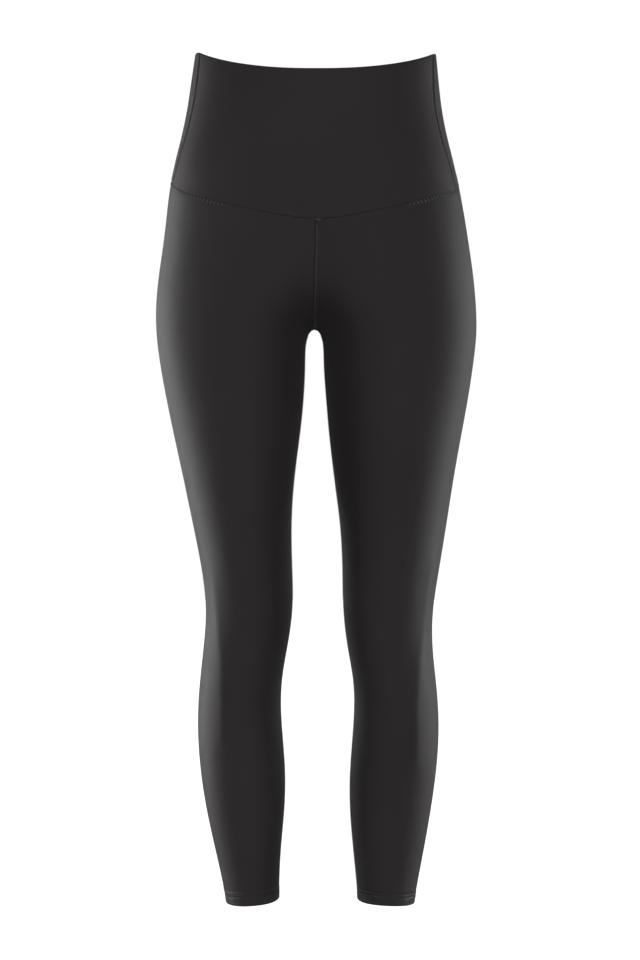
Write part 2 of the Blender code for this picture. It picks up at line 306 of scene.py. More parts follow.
# Bar tack: rows that narrow downward, each from its right to its left end.
TackRow = namedtuple("TackRow", "right_end left_end")
TACK_ROWS = (
    TackRow(-0.0036, 0.0058),
    TackRow(-0.0034, 0.0060),
    TackRow(-0.0010, 0.0044),
    TackRow(0.0008, 0.0040),
    TackRow(0.0014, 0.0038),
)
TACK_STEP = 0.0005
TACK_BASE = 0.0002
TACK_LIFT = 2 * THREAD_LIFT

# ---- Shapes ---------------------------------------------------------------------------------------


def fair_curve(levels, values):
    """A natural cubic spline along the rows of a table that may leave a row by a hair to run fair."""
    levels = np.asarray(levels, dtype=float)
    values = np.asarray(values, dtype=float)
    steps = np.diff(levels)
    count = len(levels)
    slopes_apart = np.zeros((count - 2, count))
    stiffness = np.zeros((count - 2, count - 2))
    for row in range(count - 2):
        before, after = steps[row], steps[row + 1]
        slopes_apart[row, row : row + 3] = 1 / before, -1 / before - 1 / after, 1 / after
        stiffness[row, row] = (before + after) / 3
        if row:
            stiffness[row, row - 1] = stiffness[row - 1, row] = before / 6
    give = FAIRNESS / np.convolve(steps, [0.5, 0.5])
    give[levels == CROTCH] = 0
    bend = np.linalg.solve(stiffness + slopes_apart * give @ slopes_apart.T, slopes_apart @ values)
    values = values - give * (bend @ slopes_apart)
    bend = np.pad(bend, 1)

    def value(level):
        row = np.clip(np.searchsorted(levels, level) - 1, 0, count - 2)
        share = (levels[row + 1] - level) / steps[row]
        rest = 1 - share
        curved = (share**3 - share) * bend[row] + (rest**3 - rest) * bend[row + 1]
        return share * values[row] + rest * values[row + 1] + curved * steps[row] ** 2 / 6

    return value


def virtual(width):
    """A half width before the fork's rounding takes its share of it."""
    return math.hypot(width, FORK)


def leg_pull(out, inside, parted):
    """How far a ring's inside is pulled in to bring its inner edge to the table's."""
    half = (virtual(out) - FORK) / (1 + parted)
    return (virtual(inside) - FORK) / half + 1 - parted


LEVELS = [row.level for row in BODY + LEGS]
OUT = {
    RIGHT: fair_curve(LEVELS, [virtual(w) for w in [r.right for r in BODY] + [r.right_out for r in LEGS]]),
    LEFT: fair_curve(LEVELS, [virtual(w) for w in [r.left for r in BODY] + [r.left_out for r in LEGS]]),
}
BODY_PULL = [row.pull for row in BODY]
PULL = {
    RIGHT: fair_curve(LEVELS, BODY_PULL + [leg_pull(r.right_out, r.right_in, r.parted) for r in LEGS]),
    LEFT: fair_curve(LEVELS, BODY_PULL + [leg_pull(r.left_out, r.left_in, r.parted) for r in LEGS]),
}
PARTED = fair_curve(LEVELS, [row.parted for row in BODY + LEGS])
FRONT = fair_curve(LEVELS, [row.front for row in BODY + LEGS])
BACK = fair_curve(LEVELS, [row.back for row in BODY + LEGS])
SEAT = fair_curve(LEVELS, [row.seat for row in BODY] + [0.0] * len(LEGS))
SEAM_SHARES = [row.share_down for row in SIDE_SEAMS]
SIDE_SEAM = {
    RIGHT: fair_curve(SEAM_SHARES, [row.right for row in SIDE_SEAMS]),
    LEFT: fair_curve(SEAM_SHARES, [row.left for row in SIDE_SEAMS]),
}


def across_ring(side, turn, level):
    """Distance outward across a ring, in half widths, at a turn about its middle from straight outside."""
    squared = (np.cos(turn) - SQUARE * np.cos(3 * turn)) / (1 - SQUARE)
    behind = np.sin(turn) ** 2 * (1 + np.sin(turn)) / 2
    inside = ((1 - np.cos(turn)) / 2) ** PULL_POWER
    pull = np.where(side == LEFT, PULL[LEFT](level), PULL[RIGHT](level))
    return PARTED(level) + squared + SEAT(level) * behind + pull * inside


def ring(side, turn, level):
    """A ring's width, depth and height at a turn, before the fork's rounding."""
    out = np.where(side == LEFT, OUT[LEFT](level), OUT[RIGHT](level))
    half = (out - FORK) / (1 + PARTED(level))
    width = FORK + half * across_ring(side, turn, level)
    middle = (BACK(level) + FRONT(level)) / 2
    half_depth = (BACK(level) - FRONT(level)) / 2
    depth = middle + half_depth * (np.sin(turn) + SQUARE * np.sin(3 * turn)) / (1 - SQUARE)
    return np.stack([width, depth, -level + 0 * turn], axis=-1)


def end_turn(side, toward_back, level):
    """The turn at which a ring meets the middle plane, found by halving."""
    direction = np.where(toward_back, 1.0, -1.0)
    low = np.full(np.shape(level), SURELY_OUTSIDE)
    high = np.full(np.shape(level), math.pi)
    for _ in range(HALVINGS):
        middle = (low + high) / 2
        outside = across_ring(side, direction * middle, level) > 0
        low = np.where(outside, middle, low)
        high = np.where(outside, high, middle)
    return (low + high) / 2


def sway(level):
    """How far the middle plane has drifted to the wearer's right."""
    share = np.clip((level - SWAY_START) / (CROTCH - SWAY_START), 0, 1)
    return -FORK_SWAY * share * share * (3 - 2 * share)


def cloth(side, girth, level):
    """Points on the cloth's outer face and normals there, as the solids have them."""
    side, girth, level = np.broadcast_arrays(side, girth, level)
    cut_off = math.pi - end_turn(side, girth > 0, level)
    bend = np.minimum(math.pi / 2 / np.maximum(cut_off, NORMAL_STEP), SHARPEST_BEND)
    turn = girth * math.pi - np.sign(girth) * cut_off * np.abs(girth) ** bend
    place = ring(side, turn, level)
    along = ring(side, turn + NORMAL_STEP, level) - ring(side, turn - NORMAL_STEP, level)
    up = ring(side, turn, level - NORMAL_STEP) - ring(side, turn, level + NORMAL_STEP)
    normal = np.cross(along, up)
    width = place[..., 0]
    rounded = np.sqrt(np.maximum(width**2 - FORK**2, 0))
    normal[..., 0] *= side * rounded / width
    normal /= np.linalg.norm(normal, axis=-1, keepdims=True)
    points = np.stack([side * rounded + sway(level), place[..., 1], place[..., 2]], axis=-1)
    return points, normal


def top_edge(side, girth):
    """Level of the waist's top edge."""
    inward = np.abs(np.sin(girth * math.pi / 2))
    front_dip = TOP_DIP_FRONT * inward**TOP_POWER_FRONT
    back_dip = TOP_DIP_BACK * inward**TOP_POWER_BACK
    dip = np.where(girth < 0, front_dip, back_dip)
    begun = np.clip(-girth / TOP_RISE_GIRTH, 0, 1)
    rise = TOP_RISE[side] * (1 - inward * inward) * begun * begun * (3 - 2 * begun)
    return dip - rise


def waist_seam(side, girth):
    """Level of the seam between the waistband and the legs."""
    from_crest = girth - WAIST_SEAM_CREST
    forward = from_crest < 0
    drop = np.where(forward, WAIST_DROP_FRONT, WAIST_DROP_BACK)
    to_centre = np.where(forward, 1 + WAIST_SEAM_CREST, 1 - WAIST_SEAM_CREST)
    outward = np.maximum(np.cos(from_crest / to_centre * math.pi / 2), 0)
    level = WAIST_SEAM + drop * (1 - outward**WAIST_V_POWER)
    for shift in SEAM_SHIFTS:
        if shift.side == side:
            level = level + shift.drop * swell(girth - shift.girth, shift.reach)
    return level


def seam_gap(girth):
    """Half of the gap that shows along the waist seam."""
    return SEEN_GAP + SIDE_GAP * swell(girth, SIDE_GAP_REACH)


def hem_edge(side, girth):
    """Level of a hem's edge."""
    hem = HEMS[side]
    level = (hem.outside + hem.inside) / 2 + (hem.outside - hem.inside) / 2 * np.cos(girth * math.pi)
    return level - hem.front_drop * np.sin(girth * math.pi)


def swell(distance, width):
    """1 at no distance, falling smoothly to 0 at the width."""
    share = np.clip(np.abs(distance) / width, 0, 1)
    return (1 - share * share) ** 2


def rolled(distance, radius):
    """How full a rolled edge is at a distance in from it: 0 at the edge, 1 beyond the radius."""
    share = 1 - np.clip(distance / radius, 0, 1)
    return np.sqrt(1 - share * share)


def graded(length, first, last, longest):
    """Places along a length, close together at both ends."""
    ends = []
    for step in (first, last):
        places = [0.0]
        while places[-1] + step < length / 2:
            places.append(places[-1] + step)
            step = min(step * STEP_GROWTH, longest)
        ends.append(np.array(places))
    return np.concatenate([ends[0], length - ends[1][::-1]])


def step_lengths(points, axis):
    """How far each point of a grid is from its row's first, measured along the row."""
    steps = np.linalg.norm(np.diff(points, axis=axis), axis=-1)
    total = np.cumsum(steps, axis=axis)
    return np.insert(total, 0, 0, axis=axis)


# ---- Meshes ---------------------------------------------------------------------------------------


def shell(name, outer, normals, thickness, knit_map, material):
    """A closed thin shell: outer points as a grid, its inner face a thickness below, and the cut edge."""
    rows, columns = outer.shape[:2]
    inner = outer - normals * thickness[..., None]
    place = np.arange(rows * columns).reshape(rows, columns)
    faces = np.stack([place[:-1, :-1], place[1:, :-1], place[1:, 1:], place[:-1, 1:]], axis=-1)
    faces = faces.reshape(-1, 4)
    border = np.concatenate([place[0, :-1], place[:-1, -1], place[-1, :0:-1], place[:0:-1, 0]])
    middle_row, middle_column = rows // 2, columns // 2
    down = outer[middle_row + 1, middle_column] - outer[middle_row, middle_column]
    side = outer[middle_row, middle_column + 1] - outer[middle_row, middle_column]
    if np.dot(np.cross(down, side), normals[middle_row, middle_column]) < 0:
        faces = faces[:, ::-1]
        border = border[::-1]
    under = rows * columns
    after = np.roll(border, -1)
    edge = np.stack([border, after, after + under, border + under], axis=1)
    all_faces = np.concatenate([faces, faces[:, ::-1] + under, edge])
    mesh = bpy.data.meshes.new(name)
    all_points = np.concatenate([outer.reshape(-1, 3), inner.reshape(-1, 3)])
    mesh.from_pydata(all_points.tolist(), [], all_faces.tolist())
    corners = np.empty(len(mesh.loops), dtype=np.int64)
    mesh.loops.foreach_get("vertex_index", corners)
    both = np.concatenate([knit_map.reshape(-1, 2), knit_map.reshape(-1, 2)])
    layer = mesh.uv_layers.new(name="knit")
    layer.data.foreach_set("uv", both[corners].astype(np.float32).ravel())
    mesh.materials.append(material)
    mesh.shade_smooth()
    piece = bpy.data.objects.new(name, mesh)
    bpy.context.scene.collection.objects.link(piece)
    return piece


def creases(side, girth, level, points):
    """Soft troughs, each longer than it is wide and lost in the cloth at its ends."""
    relief = np.zeros(girth.shape)
    for crease in CREASES:
        if crease.side != side:
            continue
        middle, _ = cloth(side, np.array(crease.girth), np.array(crease.level))
        upward = crease.level - level
        nearby = np.abs(upward) < CREASE_REACH * crease.length
        away = np.linalg.norm(points - middle, axis=-1)
        sideways = np.sign(girth - crease.girth) * np.sqrt(np.maximum(away**2 - upward**2, 0))
        along = sideways * math.cos(crease.lean) + upward * math.sin(crease.lean)
        across = upward * math.cos(crease.lean) - sideways * math.sin(crease.lean)
        across = across + CREASE_BOW * along**2 / crease.length
        fading = np.exp(-((along / crease.length) ** 2))
        trough = np.exp(-((across / crease.width) ** 2))
        lips = CREASE_LIP * np.exp(-((np.abs(across) / crease.width - CREASE_LIP_AWAY) ** 2))
        relief += np.where(nearby, crease.depth * fading * (trough - lips), 0)
    return relief


def folds(side, level, girth, round_leg):
    """Soft edges: the cloth runs flat up to each from both sides and turns at it."""
    relief = np.zeros(girth.shape)
    for fold in FOLDS:
        if fold.side != side:
            continue
        girths, levels = np.array(fold.path).T
        row_level = level[:, level.shape[1] // 4]
        at_girth = np.interp(row_level, levels, girths)
        places = [np.interp(at, row, arc) for at, row, arc in zip(at_girth, girth, round_leg)]
        away = (round_leg - np.array(places)[:, None]) / fold.width
        away = np.sqrt(away**2 + (FOLD_ROUNDING / fold.width) ** 2)
        roof = np.clip(1 - away, 0, 1) ** 2
        begun = np.clip((level - levels[0]) / FOLD_FADE, 0, 1)
        ends = begun * np.clip((levels[-1] - level) / FOLD_FADE, 0, 1)
        relief += fold.height * roof * ends * ends * (3 - 2 * ends)
    return relief


def fullness(side, girth, level):
    """Broad rises of the cloth over the calves."""
    relief = np.zeros(girth.shape)
    for full in FULLNESSES:
        if full.side == side:
            around = np.maximum(np.cos((girth - full.girth) * math.pi), 0)
            relief += full.height * around * swell(level - full.level, full.reach)
    return relief


def pucker(side, girth):
    """An uneven wave round a hem, the same on every run."""
    wave = 0
    for place, count in enumerate(PUCKER_WAVES):
        lag = PUCKER_LAG * place + PUCKER_SIDE_LAG * side
        wave = wave + np.sin(girth * math.pi * count + lag) / (1 + PUCKER_FADE * place)
    return wave / 2


def seam_relief(side, level, below_seam, from_end):
    """The ridges beside a leg panel's long edges: the centre seam's, then the inseam's."""
    open_leg = level > CROTCH
    fade = np.clip((level - CROTCH) / FORK_FADE, 0, 1)
    begun = np.clip(below_seam / CENTRE_STRIP_START, 0, 1)
    relief = np.where(open_leg, INSEAM_RIDGE * swell(from_end, INSEAM_RIDGE_WIDTH) * fade, 0)
    for strip in CENTRE_STRIPS:
        pressed = strip.height * swell(from_end * side - strip.place, strip.half_width)
        relief = relief + np.where(open_leg, pressed * (1 - fade), pressed) * begun
    roll_depth = np.where(open_leg, INSEAM_ROLL_DEPTH, CENTRE_ROLL_DEPTH)
    return relief - roll_depth * (1 - rolled(from_end, CENTRE_ROLL))


def hem_relief(side, girth, above_hem):
    """The turned-up hem's step and flare, its sunk needle lines and their pucker, and its rolled edge."""
    needles = NEEDLES[side]
    wave = pucker(side, girth)
    height = above_hem + needles.slant * np.cos(girth * math.pi)
    relief = HEM_STEP * (1 - rolled(np.maximum(height - needles.upper, 0), HEM_STEP_ROLL))
    relief = relief + HEM_FLARE * np.clip(1 - above_hem / HEM_HEIGHT, 0, 1) ** 2
    for line in (needles.upper, needles.lower):
        relief = relief - needles.sink * swell(height - line - NEEDLE_WAVE * wave, NEEDLE_WIDTH)
    relief = relief + PUCKER * wave * swell(height - needles.lower, PUCKER_WIDTH)
    return relief - HEM_CLOTH / 2 * (1 - rolled(above_hem, HEM_ROLL))


def leg_levels(side, girth):
    """Rows from the waist seam to the hem, close together at both and close round the fork."""
    top = waist_seam(side, girth) + seam_gap(girth)
    bottom = hem_edge(side, girth)
    upper_length = CROTCH - WAIST_SEAM
    lower_length = HEMS[side].outside - CROTCH
    upper = graded(upper_length, FINE, FORK_STEP, LONG_STEP)[:, None] / upper_length
    lower = graded(lower_length, FORK_STEP, FINE, LONG_STEP) / lower_length
    hem_rows = np.linspace(0, HEM_HEIGHT + HEM_ROWS_PAST, HEM_ROWS)[1:-1] / lower_length
    lower = lower[lower < 1 - hem_rows.max()]
    lower = np.unique(np.concatenate([lower, 1 - hem_rows, [1.0]]))[:, None]
    return np.concatenate([top + (CROTCH - top) * upper, CROTCH + (bottom - CROTCH) * lower[1:]])


def leg_shell(side, name, material):
    """One leg's panel, wrapped round from the centre front or inseam to the centre back."""
    girth = graded(2.0, END_SHARE, END_SHARE, LONG_SHARE)[None, :] - 1
    level = leg_levels(side, girth)
    girth = np.broadcast_to(girth, level.shape)
    points, normals = cloth(side, girth, level)
    round_leg = step_lengths(points, 1)
    from_end = np.minimum(round_leg, round_leg[:, -1:] - round_leg)
    below_seam = level - waist_seam(side, girth)
    above_hem = hem_edge(side, girth) - level

    relief = creases(side, girth, level, points) + folds(side, level, girth, round_leg)
    relief = relief + fullness(side, girth, level) - WAIST_SINK * swell(below_seam, WAIST_SINK_WIDTH)
    relief = relief + seam_relief(side, level, below_seam, from_end) + hem_relief(side, girth, above_hem)
    thickness = np.where(above_hem < HEM_HEIGHT, HEM_CLOTH, LEG_CLOTH)
    thickness = np.maximum(thickness * rolled(above_hem, HEM_ROLL), THINNEST)

    points = points + normals * relief[..., None]
    middle = sway(level)
    clear = np.maximum(side * (points[..., 0] - middle), SEEN_GAP)
    points[..., 0] = middle + side * clear
    above_fork = np.clip((CROTCH - level) / CENTRE_SHIFT_FADE, 0, 1)
    points[..., 0] -= CENTRE_SHIFT * swell(clear, CENTRE_SHIFT_REACH) * above_fork * (girth < 0)
    middle_column = girth.shape[1] // 2
    knit_map = np.stack([round_leg - round_leg[:, middle_column, None], -level], axis=-1)
    return shell(name, points, normals, thickness, knit_map, material)


def band_shell(direction, name, material):
    """The front band, direction -1, or the back band, direction 1, from side seam to side seam."""
    share_down = graded(BAND_DEPTH, FINE, FINE, BAND_LONG_STEP)[:, None] / BAND_DEPTH
    across = graded(1.0, BAND_END_SHARE, BAND_LONG_SHARE, BAND_LONG_SHARE)
    halves = []
    for side in (RIGHT, LEFT):
        start = -SIDE_SEAM[side](share_down) + direction * SIDE_SEAM_GAP
        girth = start + (direction - start) * across
        top = top_edge(side, girth)
        bottom = waist_seam(side, girth) - seam_gap(girth)
        level = top + (bottom - top) * share_down
        points, normals = cloth(side, girth, level)
        halves.append((points, normals, level - top, bottom - level, level))
    points, normals, below_top, above_seam, level = (
        np.concatenate([of_right, of_left[:, -2::-1]], axis=1) for of_right, of_left in zip(*halves)
    )
    round_band = step_lengths(points, 1)
    from_end = np.minimum(round_band, round_band[:, -1:] - round_band)
    top_full = rolled(below_top, TOP_ROLL)
    drawn = swell(from_end, SIDE_SEAM_WIDTH) * np.clip(below_top / SIDE_SEAM_START, 0, 1)
    relief = BAND_PUFF * np.clip(1 - above_seam / BAND_PUFF_HEIGHT, 0, 1) ** 2
    relief = relief - BAND_CLOTH / 2 * (1 - top_full)
    relief = relief - BAND_ROLL * (1 - rolled(above_seam, BAND_ROLL))
    relief = relief - SIDE_SEAM_ROLL * (1 - rolled(from_end, SIDE_SEAM_ROLL))
    relief = relief - SIDE_SEAM_DRAW * drawn
    thickness = np.maximum(BAND_CLOTH * top_full, THINNEST)
    points = points + normals * relief[..., None]
    knit_map = np.stack([round_band - round_band[:, -1:] / 2, -level], axis=-1)
    return shell(name, points, normals, thickness, knit_map, material)


def overlock_shell(side, name, material):
    """The sewn edge on the inside of the waist seam."""
    girth = graded(2.0, LONG_SHARE, LONG_SHARE, LONG_SHARE)[None, :] - 1
    half = OVERLOCK_HEIGHT / 2
    level = waist_seam(side, girth) + np.linspace(-half, half, OVERLOCK_ROWS)[:, None]
    points, normals = cloth(side, girth, level)
    points = points - normals * OVERLOCK_DEPTH
    middle = sway(level)
    points[..., 0] = middle + side * np.maximum(side * (points[..., 0] - middle), SEEN_GAP)
    knit_map = np.stack([step_lengths(points, 1), -level], axis=-1)
    return shell(name, points, normals, np.full(level.shape, OVERLOCK_CLOTH), knit_map, material)


# ---- Threads --------------------------------------------------------------------------------------

SeamLine = namedtuple("SeamLine", "points along normals across")


def seam_line(side, girth, level, step):
    """Places a step apart on a line of the cloth, each with its directions."""
    points, normals = cloth(side, girth, level)
    run = step_lengths(points, 0)
    places = np.arange(step / 2, run[-1], step)

    def at(values, where):
        return np.stack([np.interp(where, run, values[:, axis]) for axis in range(3)], axis=-1)

    along = at(points, places + HEADING_STEP) - at(points, places - HEADING_STEP)
    along /= np.linalg.norm(along, axis=-1, keepdims=True)
    turned = at(normals, places)
    turned -= along * np.sum(turned * along, axis=-1, keepdims=True)
    turned /= np.linalg.norm(turned, axis=-1, keepdims=True)
    return SeamLine(at(points, places), along, turned, np.cross(turned, along))


def thread_paths(line, start, end, lift, base=0.0):
    """Short threads from one (along, across) offset to another, arched over the cloth."""
    share = np.linspace(0, 1, THREAD_PLACES)[None, :, None]
    arch = np.sin(share * math.pi) ** THREAD_ARCH
    height = base - THREAD_BURIED + (lift + THREAD_BURIED) * arch
    along = start[0] + (end[0] - start[0]) * share
    across = start[1] + (end[1] - start[1]) * share
    return (
        line.points[:, None] + line.along[:, None] * along + line.across[:, None] * across
        + line.normals[:, None] * height
    )


def threads(name, groups, radius, material):
    """One mesh of many short tubes. Each group is paths (count, places, 3) and normals (count, 3)."""
    points, faces, base = [], [], 0
    corner = np.arange(THREAD_SIDES) * 2 * math.pi / THREAD_SIDES
    for paths, normals in groups:
        count, places = paths.shape[:2]
        heading = np.gradient(paths, axis=1)
        heading /= np.linalg.norm(heading, axis=-1, keepdims=True)
        beside = np.cross(heading, normals[:, None])
        beside /= np.linalg.norm(beside, axis=-1, keepdims=True)
        above = np.cross(beside, heading)
        taper = np.full(places, radius)
        taper[[0, -1]] *= THREAD_TIP
        ring_points = (
            paths[:, :, None]
            + taper[None, :, None, None] * beside[:, :, None] * np.cos(corner)[None, None, :, None]
            + taper[None, :, None, None] * above[:, :, None] * np.sin(corner)[None, None, :, None]
        )
        points.append(ring_points.reshape(-1, 3))
        place = base + np.arange(count * places * THREAD_SIDES).reshape(count, places, THREAD_SIDES)
        nxt = np.roll(place, -1, axis=2)
        walls = np.stack([place[:, :-1], nxt[:, :-1], nxt[:, 1:], place[:, 1:]], axis=-1)
        faces += walls.reshape(-1, 4).tolist()
        faces += place[:, 0, ::-1].tolist()
        faces += place[:, -1].tolist()
        base += ring_points.size // 3
    mesh = bpy.data.meshes.new(name)
    mesh.from_pydata(np.concatenate(points).tolist(), [], faces)
    mesh.materials.append(material)
    mesh.shade_smooth()
    piece = bpy.data.objects.new(name, mesh)
    bpy.context.scene.collection.objects.link(piece)
    return piece


def ladder(line, kind, facing=1, sunk=0.0):
    """Threads side by side across a seam. Facing -1 turns their reach to its other side."""
    start, end = (facing * place for place in kind.reach)
    crossing = thread_paths(line, (-kind.lean, start), (kind.lean, end), kind.lift, kind.base - sunk)
    return crossing, line.normals


def needle_line(line):
    """Stitches one behind the other along a seam."""
    half = NEEDLE_STITCH / 2
    return thread_paths(line, (-half, 0.0), (half, 0.0), THREAD_LIFT), line.normals


# ---- Materials ------------------------------------------------------------------------------------

BAND_TONE = (0.0256, 0.0214, 0.0229)
# Both legs are one cloth: the wearer's right leg gets a lighter tone as painted light and the left a
# darker one as painted shade.
LEG_TONES_WITH_PAINTED_LIGHT_AND_SHADE = {RIGHT: (0.0257, 0.0226, 0.0237), LEFT: (0.0240, 0.0211, 0.0222)}
# Painted shade: the overlock is far darker than the cloth, so the waist seam's gap reads as a dark line.
OVERLOCK_PAINTED_SHADE_TONE = (0.0060, 0.0055, 0.0055)
THREAD_TONE = (0.034, 0.030, 0.031)
# Over the centre seam's ridge the threads are paler than the cloth: partly a paler thread, partly a
# painted highlight along the ridge.
PALE_THREAD_AND_HIGHLIGHT_TONE = (0.044, 0.040, 0.041)
# The bar tack's threads are paler still: partly their own tone, partly a painted highlight on the satin
# rows.
TACK_THREAD_AND_HIGHLIGHT_TONE = (0.056, 0.053, 0.054)
# Painted highlight: the waist seam's ladder threads are far paler than the cloth, as if each caught the
# light.
LADDER_HIGHLIGHT_TONE = (0.084, 0.079, 0.081)

# The jersey's stitches in millimetres, the swing that makes its rows into Vs, and the loops' height.
MM_A_METRE = 1000.0
WALE = 0.62
COURSE = 0.44
ROW_SWING = 0.7
LOOP_HEIGHT = 0.30
KNIT_BUMP = 0.55
KNIT_BUMP_DEPTH = 0.00009
FUZZ_HEIGHT = 0.6

# Its melange: fine noise along the knit and broad noise, which each cloth takes from a place of its own.
Noise = namedtuple("Noise", "scale detail roughness")
FINE_NOISE = Noise(0.9, 3.0, 0.6)
BROAD_NOISE = Noise(9.0, 2.0, 0.5)
FINE_SHARE = 0.55
BAND_NOISE_PLACE = 3.0
LEG_NOISE_PLACE = 7.0
OVERLOCK_NOISE_PLACE = 11.0
CLOTH_SPREAD = 0.28

CLOTH_ROUGHNESS = 0.52
CLOTH_ROUGHNESS_SPREAD = 0.12
CLOTH_SPECULAR = 0.15
CLOTH_SHEEN = 0.08
CLOTH_SHEEN_ROUGHNESS = 0.40
CLOTH_SHEEN_TINT = (1.0, 0.92, 1.0, 1.0)

TWIST_NOISE = Noise(2600.0, 2.0, 0.5)
THREAD_SPREAD = 0.4
THREAD_ROUGHNESS = 0.5
THREAD_SPECULAR = 0.35
THREAD_SHEEN = 0.25
THREAD_BUMP = 0.5
THREAD_BUMP_DEPTH = 0.00006


def nodes_of(material):
    material.use_nodes = True
    tree = material.node_tree
    return tree, tree.nodes["Principled BSDF"]


def math_node(tree, operation, first, second=None, third=None):
    node = tree.nodes.new("ShaderNodeMath")
    node.operation = operation
    for socket, value in zip(node.inputs, (first, second, third)):
        if value is None:
            continue
        if isinstance(value, (int, float)):
            socket.default_value = value
        else:
            tree.links.new(value, socket)
    return node.outputs[0]


def noise_node(tree, vector, noise):
    node = tree.nodes.new("ShaderNodeTexNoise")
    node.inputs["Scale"].default_value = noise.scale
    node.inputs["Detail"].default_value = noise.detail
    node.inputs["Roughness"].default_value = noise.roughness
    tree.links.new(vector, node.inputs["Vector"])
    return node.outputs["Fac"]


def set_tone(tree, shader, base, spread, factor):
    """Colour the shader between a darker and a lighter tone of the base."""
    tone = tree.nodes.new("ShaderNodeMix")
    tone.data_type = "RGBA"
    tree.links.new(factor, tone.inputs["Factor"])
    tone.inputs["A"].default_value = tuple(part * (1 - spread) for part in base) + (1.0,)
    tone.inputs["B"].default_value = tuple(part * (1 + spread) for part in base) + (1.0,)
    tree.links.new(tone.outputs["Result"], shader.inputs["Base Color"])


def set_bump(tree, shader, height, strength, depth):
    bump = tree.nodes.new("ShaderNodeBump")
    bump.inputs["Strength"].default_value = strength
    bump.inputs["Distance"].default_value = depth
    tree.links.new(height, bump.inputs["Height"])
    tree.links.new(bump.outputs["Normal"], shader.inputs["Normal"])


def knit_material(name, base, noise_place):
    """Fine jersey face: rows of small Vs, a faint melange, and a soft sheen."""
    material = bpy.data.materials.new(name)
    tree, shader = nodes_of(material)
    link = tree.links.new
    uv = tree.nodes.new("ShaderNodeUVMap")
    uv.uv_map = "knit"
    in_mm = tree.nodes.new("ShaderNodeVectorMath")
    in_mm.operation = "SCALE"
    in_mm.inputs["Scale"].default_value = MM_A_METRE
    link(uv.outputs["UV"], in_mm.inputs[0])
    split = tree.nodes.new("ShaderNodeSeparateXYZ")
    link(in_mm.outputs[0], split.inputs[0])

    across = math_node(tree, "FRACT", math_node(tree, "DIVIDE", split.outputs["X"], WALE))
    from_middle = math_node(tree, "ABSOLUTE", math_node(tree, "SUBTRACT", across, 0.5))
    off = math_node(tree, "MULTIPLY", from_middle, 2.0)
    swing = math_node(tree, "MULTIPLY", off, ROW_SWING)
    course = math_node(tree, "ADD", math_node(tree, "DIVIDE", split.outputs["Y"], COURSE), swing)
    loop = math_node(tree, "SINE", math_node(tree, "MULTIPLY", course, 2 * math.pi))
    rib = math_node(tree, "SUBTRACT", 1.0, math_node(tree, "MULTIPLY", off, off))
    height = math_node(tree, "MULTIPLY_ADD", math_node(tree, "MULTIPLY", loop, rib), LOOP_HEIGHT, rib)

    fine = noise_node(tree, in_mm.outputs[0], FINE_NOISE)
    where = tree.nodes.new("ShaderNodeTexCoord")
    shifted = tree.nodes.new("ShaderNodeMapping")
    shifted.inputs["Location"].default_value = (noise_place, 0.0, 0.0)
    link(where.outputs["Object"], shifted.inputs["Vector"])
    broad = noise_node(tree, shifted.outputs["Vector"], BROAD_NOISE)
    fine_part = math_node(tree, "MULTIPLY", fine, FINE_SHARE)
    broad_part = math_node(tree, "MULTIPLY", broad, 1 - FINE_SHARE)
    set_tone(tree, shader, base, CLOTH_SPREAD, math_node(tree, "ADD", fine_part, broad_part))

    smoothest = CLOTH_ROUGHNESS - CLOTH_ROUGHNESS_SPREAD / 2
    rough = math_node(tree, "MULTIPLY_ADD", fine, CLOTH_ROUGHNESS_SPREAD, smoothest)
    link(rough, shader.inputs["Roughness"])
    shader.inputs["Specular IOR Level"].default_value = CLOTH_SPECULAR
    shader.inputs["Sheen Weight"].default_value = CLOTH_SHEEN
    shader.inputs["Sheen Roughness"].default_value = CLOTH_SHEEN_ROUGHNESS
    shader.inputs["Sheen Tint"].default_value = CLOTH_SHEEN_TINT
    relief = math_node(tree, "MULTIPLY_ADD", fine, FUZZ_HEIGHT, height)
    set_bump(tree, shader, relief, KNIT_BUMP, KNIT_BUMP_DEPTH)
    return material


def thread_material(name, base):
    """Twisted textured yarn."""
    material = bpy.data.materials.new(name)
    tree, shader = nodes_of(material)
    where = tree.nodes.new("ShaderNodeTexCoord")
    twist = noise_node(tree, where.outputs["Object"], TWIST_NOISE)
    set_tone(tree, shader, base, THREAD_SPREAD, twist)
    shader.inputs["Roughness"].default_value = THREAD_ROUGHNESS
    shader.inputs["Specular IOR Level"].default_value = THREAD_SPECULAR
    shader.inputs["Sheen Weight"].default_value = THREAD_SHEEN
    set_bump(tree, shader, twist, THREAD_BUMP, THREAD_BUMP_DEPTH)
    return material


# ---- The leggings ---------------------------------------------------------------------------------

SIDE_NAMES = {RIGHT: "right", LEFT: "left"}
NODE_SLOTS = {
    "front": "waistband_front_knit",
    "back": "waistband_back_knit",
    "right": "leg_right_knit",
    "left": "leg_left_knit",
}

for direction, word in ((-1, "front"), (1, "back")):
    knit = knit_material("knit_band_" + word, BAND_TONE, BAND_NOISE_PLACE + direction)
    piece = band_shell(direction, "waistband_" + word + "_cloth", knit)
    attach(piece, "root")
    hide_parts("waistband_" + word)
for side, word in SIDE_NAMES.items():
    # The right leg's knit is a lit copy and the left leg's a shaded copy, by their painted tones.
    knit = knit_material("knit_leg_" + word, LEG_TONES_WITH_PAINTED_LIGHT_AND_SHADE[side], LEG_NOISE_PLACE + side)
    piece = leg_shell(side, "leg_" + word + "_cloth", knit)
    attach(piece, "root")
    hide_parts("leg_" + word)

thread = thread_material("thread", THREAD_TONE)
# Paler thread over the centre ridge, partly a painted highlight.
pale_thread_and_highlight = thread_material("pale_thread_and_highlight", PALE_THREAD_AND_HIGHLIGHT_TONE)
